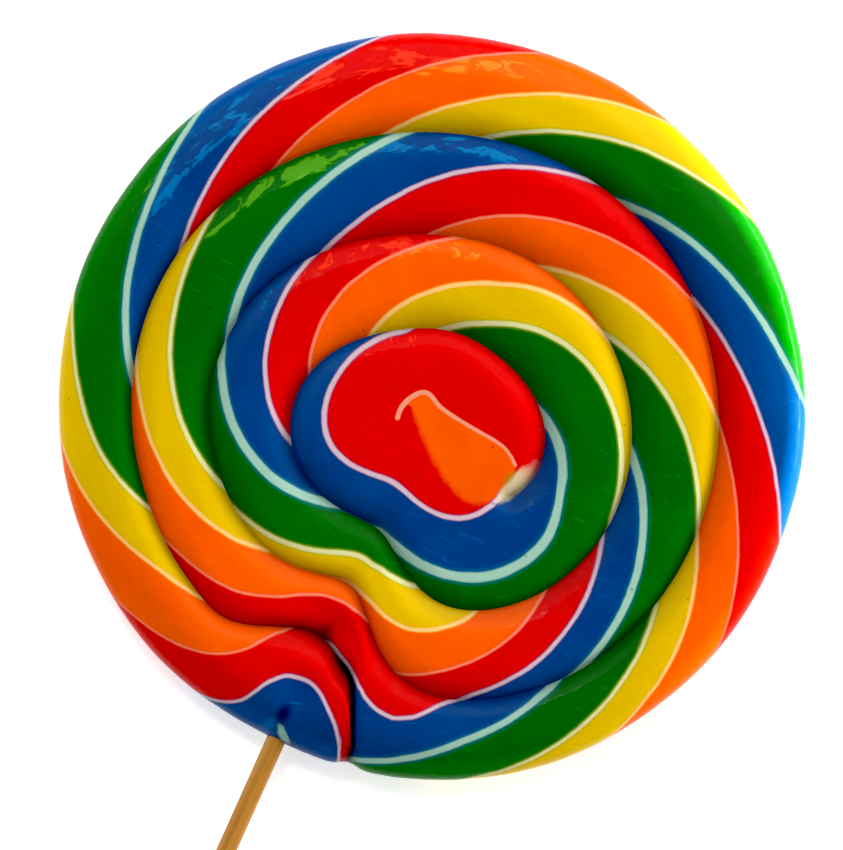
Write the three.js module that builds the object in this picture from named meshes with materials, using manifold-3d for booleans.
// Swirl lollipop: one twisted rope of boiled sugar, coiled flat into a disc
// and pressed, with a round wooden stick pushed radially into its rim.
//
// Frame: the disc lies on the plane Z = 0, its coiled face up (+Z), the origin
// under the middle of the disc, the stick running out toward -Y.
// Millimetres, angles in degrees counted counter-clockwise from +X.
import * as THREE from 'three';
import { mergeVertices } from 'three/addons/utils/BufferGeometryUtils.js';
import Module from 'manifold-3d';

// ---------------------------------------------------------------- sizes
const DISC_R = 67.5;        // mean radius of the disc
const CREST_Z = 10.5;       // top of the coils
const RIM_DEPTH = 4.0;      // how far the rounded rim reaches in from the edge
const RIM_TOP_DROP = 1.4;   // crest to the line where the rim starts to round
const RIM_FOOT = 1.2;       // height of the rim's lower edge above the table
const GROOVE = 2.1;         // depth of the groove between two turns
const TAIL_GROOVE = 3.8;    // the deeper groove beside the rope's outer end
const DIMPLE = 2.8;         // its depth where it crosses over the stick
const UNDER_GROOVE = 0.8;   // the same groove, nearly pressed shut, underneath

const STICK_R = 1.75;       // wooden dowel
const STICK_X = -0.88;      // its axis, beside the Y axis
const STICK_Z = 5.0;        // and above the table
const STICK_END_Y = -22.5;  // inner end, inside the candy
const STICK_TIP_Y = -232.5; // outer end
const STICK_EDGE = 0.4;     // rounding of both ends
const CLEAR = 0.3;          // gap between the stick and its socket

// The seam between neighbouring turns is one spiral that starts beside the
// rope's inner tip and runs out to the rim. Each turn of it is nearly a closed
// ring, pressed off centre, with a dent where the stick went in; a short
// outward step leads from one ring to the next.
const SEAM_START = -33, SEAM_FADE = 9;
const RINGS = [
  { at: 150, radius: 19.29, drift: 3.22, shift: 3.12, shiftDir: 278.7, oval: 3.16, ovalDir: 14.4, tri: 1.43, triDir: 101.2, dent: -3.0, dentDir: 260.2, dentWide: 28.0 },
  { at: 460, radius: 36.38, drift: 5.96, shift: 4.13, shiftDir: 295.5, oval: 1.79, ovalDir: 181.0, tri: 0.71, triDir: 76.6, dent: 6.06, dentDir: 272.3, dentWide: 12.7 },
  { at: 820, radius: 52.52, drift: 6.22, shift: 2.86, shiftDir: 312.5, oval: 1.18, ovalDir: 160.1, tri: 0.74, triDir: 65.6, dent: 10.4, dentDir: 269.0, dentWide: 11.6 },
];
const STEPS = [
  { at: 277.0, wide: 6.6 },   // first ring to second
  { at: 636.6, wide: 3.5 },   // second ring to third
  { at: 1000.3, wide: 0.9 },  // third ring out to the rim: the rope's tail
];

// On both sides of the outermost dent the seam bows out a little.
const BOWS = [
  { out: 1.3, at: 970.5, wide: 5.0 },
  { out: 1.25, at: 995.3, wide: 2.6 },
];

// The outline is a little uneven, and flattened beside the stick.
const OUTLINE = [
  { waves: 1, size: 0.11, dir: 303 },
  { waves: 2, size: 0.35, dir: 153 },
  { waves: 3, size: 0.14, dir: 38 },
  { waves: 11, size: 0.10, dir: 20 },
];
const FLAT = { deep: 1.1, dir: 270, wide: 15.8 };

// mesh fineness
const ROWS_PLAIN = 42, ROWS_TAIL = 17, ROWS_AFTER = 8; // per turn, by stretch
const TAIL_ZONE = 240;                                 // where rows get finer
const ACROSS = [0, 0.07, 0.2, 0.42, 0.68, 0.87, 0.955, 1];
const CORE_INSET = [0.9, 2.4, 5.0, 9.0];               // rings inside the first turn
const CORE_AT = [-2.6, -4.2];
const RIM_STEPS = 7;

// ---------------------------------------------------------------- the coil
const rad = (a) => (a * Math.PI) / 180;
const turn = (a) => ((((a + 180) % 360) + 360) % 360) - 180;
const bell = (x) => Math.exp(-(x * x) / 2);
const smooth = (x) => { const c = Math.min(1, Math.max(0, x)); return c * c * (3 - 2 * c); };
const ease = (a, s) => 1 / (1 + Math.exp(-(a - s.at) / s.wide));

function outline(a) {
  let r = DISC_R;
  for (const w of OUTLINE) r += w.size * Math.cos(w.waves * rad(a - w.dir));
  return r - FLAT.deep * bell(turn(a - FLAT.dir) / FLAT.wide);
}
const rimTop = (a) => outline(a) - RIM_DEPTH;

function ring(k, a) {
  const q = RINGS[k];
  return q.radius + (q.drift * (a - q.at)) / 360
    + q.shift * Math.cos(rad(a - q.shiftDir))
    + q.oval * Math.cos(2 * rad(a - q.ovalDir))
    + q.tri * Math.cos(3 * rad(a - q.triDir))
    - q.dent * bell(turn(a - q.dentDir) / q.dentWide);
}
function seam(a) {
  let r = ring(0, a);
  r += (ring(1, a) - r) * ease(a, STEPS[0]);
  r += (ring(2, a) - r) * ease(a, STEPS[1]);
  for (const b of BOWS) r += b.out * bell((a - b.at) / b.wide);
  return r + (DISC_R - r) * ease(a, STEPS[2]);
}
// the spiral's end, where the seam meets the rounded rim
let lo = STEPS[2].at - 4, hi = STEPS[2].at + 8;
for (let i = 0; i < 50; i++) {
  const m = (lo + hi) / 2;
  if (seam(m) < rimTop(m)) lo = m; else hi = m;
}
const SEAM_END = (lo + hi) / 2;

// depth of the seam along its way: it fades in beside the tip
function seamDepth(a) {
  const overStick = bell((a - (720 + RINGS[2].dentDir)) / 8) * (DIMPLE - GROOVE);
  const tail = smooth((a - (SEAM_END - 10)) / 6);
  const deep = GROOVE + overStick * (1 - tail) + (TAIL_GROOVE - GROOVE) * tail;
  return deep * smooth((a - SEAM_START) / SEAM_FADE);
}

// ---------------------------------------------------------------- rows
// Directions of the rows in one turn, starting at the seam's start, finer
// where the seam steps outward.
const tailDir = SEAM_END - 720;
const dirs = [];
for (let i = 0; i < ROWS_PLAIN; i++) dirs.push(SEAM_START + ((TAIL_ZONE - SEAM_START) * i) / ROWS_PLAIN);
for (let i = 0; i < ROWS_TAIL; i++) dirs.push(TAIL_ZONE + (tailDir - TAIL_ZONE) * (i / ROWS_TAIL) ** 0.8);
for (let i = 0; i < ROWS_AFTER; i++) dirs.push(tailDir + ((SEAM_START + 360 - tailDir) * i) / ROWS_AFTER);
const PER_TURN = dirs.length;
const LAST = 2 * PER_TURN + ROWS_PLAIN + ROWS_TAIL;
const angleOf = (row) => dirs[row % PER_TURN] + 360 * Math.floor(row / PER_TURN);
const NT = ACROSS.length - 1;

// ---------------------------------------------------------------- candy
const xyz = [], tri = [], known = new Map();
function vertex(key, make) {
  if (!known.has(key)) { known.set(key, xyz.length / 3); xyz.push(...make()); }
  return known.get(key);
}
const polar = (a, r, z) => [r * Math.cos(rad(a)), r * Math.sin(rad(a)), z];

const topDrop = (a, edge) => (edge === 'rim' ? RIM_TOP_DROP : seamDepth(a));
function heightTop(t, inner, outer) {
  const down = Math.max(0, 1 - t / 0.42) ** 2 * inner;
  const round = Math.max(0, (t - 0.66) / 0.34) ** 2.4 * outer;
  return CREST_Z - down - round;
}
function heightUnder(t, inner, outer) {
  return Math.max(0, 1 - t / 0.2) * inner + Math.max(0, (t - 0.87) / 0.13) * outer;
}

// side: 1 the coiled face, 0 the underside
function seamVertex(side, row) {
  if (row === LAST) return rimVertex(row % PER_TURN, side ? 0 : RIM_STEPS);
  const a = angleOf(row);
  const z = side ? CREST_Z - seamDepth(a) : UNDER_GROOVE * smooth((a - SEAM_START) / SEAM_FADE);
  return vertex(`s${side}:${row}`, () => polar(a, seam(a), z));
}
function rimVertex(d, k) {
  const a = dirs[d], u = (Math.PI * k) / RIM_STEPS;
  const top = CREST_Z - RIM_TOP_DROP, mid = (top + RIM_FOOT) / 2, half = (top - RIM_FOOT) / 2;
  const notch = 1.1 * bell(turn(a - tailDir) / 1.6) * Math.sin(u);
  return vertex(`r${d}:${k}`, () => polar(a, rimTop(a) + RIM_DEPTH * Math.sin(u) - notch, mid + half * Math.cos(u)));
}
function coilVertex(side, row, j) {
  if (j === 0 || row === LAST) return seamVertex(side, row);
  const outerIsSeam = row + PER_TURN <= LAST;
  if (j === NT) return outerIsSeam ? seamVertex(side, row + PER_TURN) : rimVertex(row % PER_TURN, side ? 0 : RIM_STEPS);
  const a = angleOf(row), t = ACROSS[j];
  const r0 = seam(a), r1 = outerIsSeam ? seam(a + 360) : rimTop(a);
  const inner = seamDepth(a), outer = topDrop(a + 360, outerIsSeam ? 'seam' : 'rim');
  const z = side
    ? heightTop(t, inner, outer)
    : heightUnder(t, UNDER_GROOVE * smooth((a - SEAM_START) / SEAM_FADE), outerIsSeam ? UNDER_GROOVE : RIM_FOOT);
  return vertex(`c${side}:${row}:${j}`, () => polar(a, r0 + (r1 - r0) * t, z));
}
function face(a, b, c, up) {
  if (a === b || b === c || a === c) return;
  if (up) tri.push(a, b, c); else tri.push(a, c, b);
}
for (const side of [1, 0]) {
  for (let row = 0; row < LAST; row++) for (let j = 0; j < NT; j++) {
    const a = coilVertex(side, row, j), b = coilVertex(side, row, j + 1);
    const c = coilVertex(side, row + 1, j + 1), d = coilVertex(side, row + 1, j);
    face(a, b, c, side); face(a, c, d, side);
  }
  // the core inside the first turn, closed toward its middle
  const edge = [];
  for (let row = 0; row <= PER_TURN; row++) edge.push(coilVertex(side, row, 0));
  for (let j = NT - 1; j > 0; j--) edge.push(coilVertex(side, 0, j));
  const flat = side ? CREST_Z : 0;
  let outer = edge;
  CORE_INSET.forEach((inset, n) => {
    const fade = side ? Math.max(0, 1 - inset / 5) ** 2.4 : Math.max(0, 1 - inset / 2);
    const inner = edge.map((v, i) => {
      const [x, y, z] = xyz.slice(3 * v, 3 * v + 3);
      const s = 1 - inset / Math.hypot(x - CORE_AT[0], y - CORE_AT[1]);
      return vertex(`k${side}:${n}:${i}`, () => [
        CORE_AT[0] + (x - CORE_AT[0]) * s, CORE_AT[1] + (y - CORE_AT[1]) * s, flat + (z - flat) * fade]);
    });
    for (let i = 0; i < edge.length; i++) {
      const k = (i + 1) % edge.length;
      face(inner[i], outer[i], outer[k], side); face(inner[i], outer[k], inner[k], side);
    }
    outer = inner;
  });
  const middle = vertex(`m${side}`, () => [CORE_AT[0], CORE_AT[1], flat]);
  for (let i = 0; i < edge.length; i++) face(middle, outer[i], outer[(i + 1) % edge.length], side);
}
for (let d = 0; d < PER_TURN; d++) for (let k = 0; k < RIM_STEPS; k++) {
  const e = (d + 1) % PER_TURN;
  const a = rimVertex(d, k), b = rimVertex(d, k + 1), c = rimVertex(e, k + 1), f = rimVertex(e, k);
  face(a, b, c, true); face(a, c, f, true);
}

// ---------------------------------------------------------------- stick
// a turned dowel with slightly rounded ends, and the wider socket for it
function dowel(radius, y0, y1, edge, sides) {
  const long = y0 - y1;
  const profile = [
    [0, 0], [radius - edge, 0], [radius - 0.3 * edge, 0.3 * edge], [radius, edge],
    [radius, long - edge], [radius - 0.3 * edge, long - 0.3 * edge], [radius - edge, long], [0, long],
  ].map(([r, h]) => new THREE.Vector2(r, h));
  const g = new THREE.LatheGeometry(profile, sides);
  g.rotateX(Math.PI);                   // from its inner end at y = 0 toward -Y
  return g;
}
function toSolid(wasm, geometry) {
  const g = geometry.clone();
  g.deleteAttribute('normal'); g.deleteAttribute('uv');
  const m = mergeVertices(g, 1e-5);
  return new wasm.Manifold(new wasm.Mesh({
    numProp: 3,
    vertProperties: Float32Array.from(m.attributes.position.array),
    triVerts: Uint32Array.from(m.index.array),
  }));
}
function fromSolid(solid) {
  const m = solid.getMesh(), g = new THREE.BufferGeometry();
  const p = new Float32Array((m.vertProperties.length / m.numProp) * 3);
  for (let i = 0; i < p.length / 3; i++) for (let k = 0; k < 3; k++) p[3 * i + k] = m.vertProperties[m.numProp * i + k];
  g.setAttribute('position', new THREE.BufferAttribute(p, 3));
  g.setIndex(new THREE.BufferAttribute(Uint32Array.from(m.triVerts), 1));
  g.computeVertexNormals();
  return g;
}

const wasm = await Module();
wasm.setup();

const body = new THREE.BufferGeometry();
body.setAttribute('position', new THREE.BufferAttribute(Float32Array.from(xyz), 3));
body.setIndex(tri);
const socket = dowel(STICK_R + CLEAR, STICK_END_Y + CLEAR, -DISC_R - 8, 0.5, 20);
socket.translate(STICK_X, STICK_END_Y + CLEAR, STICK_Z);
const candyGeometry = fromSolid(toSolid(wasm, body).subtract(toSolid(wasm, socket)));

const candy = new THREE.Mesh(candyGeometry, new THREE.MeshStandardMaterial({ color: 0xdd1208, roughness: 0.12, metalness: 0 }));
candy.name = 'candy';

const stick = new THREE.Mesh(
  fromSolid(toSolid(wasm, dowel(STICK_R, STICK_END_Y, STICK_TIP_Y, STICK_EDGE, 24))),
  new THREE.MeshStandardMaterial({ color: 0xb8823c, roughness: 0.6, metalness: 0 }));
stick.name = 'stick';
stick.position.set(STICK_X, STICK_END_Y, STICK_Z);

const lollipop = new THREE.Group();
lollipop.add(candy, stick);
export default lollipop;
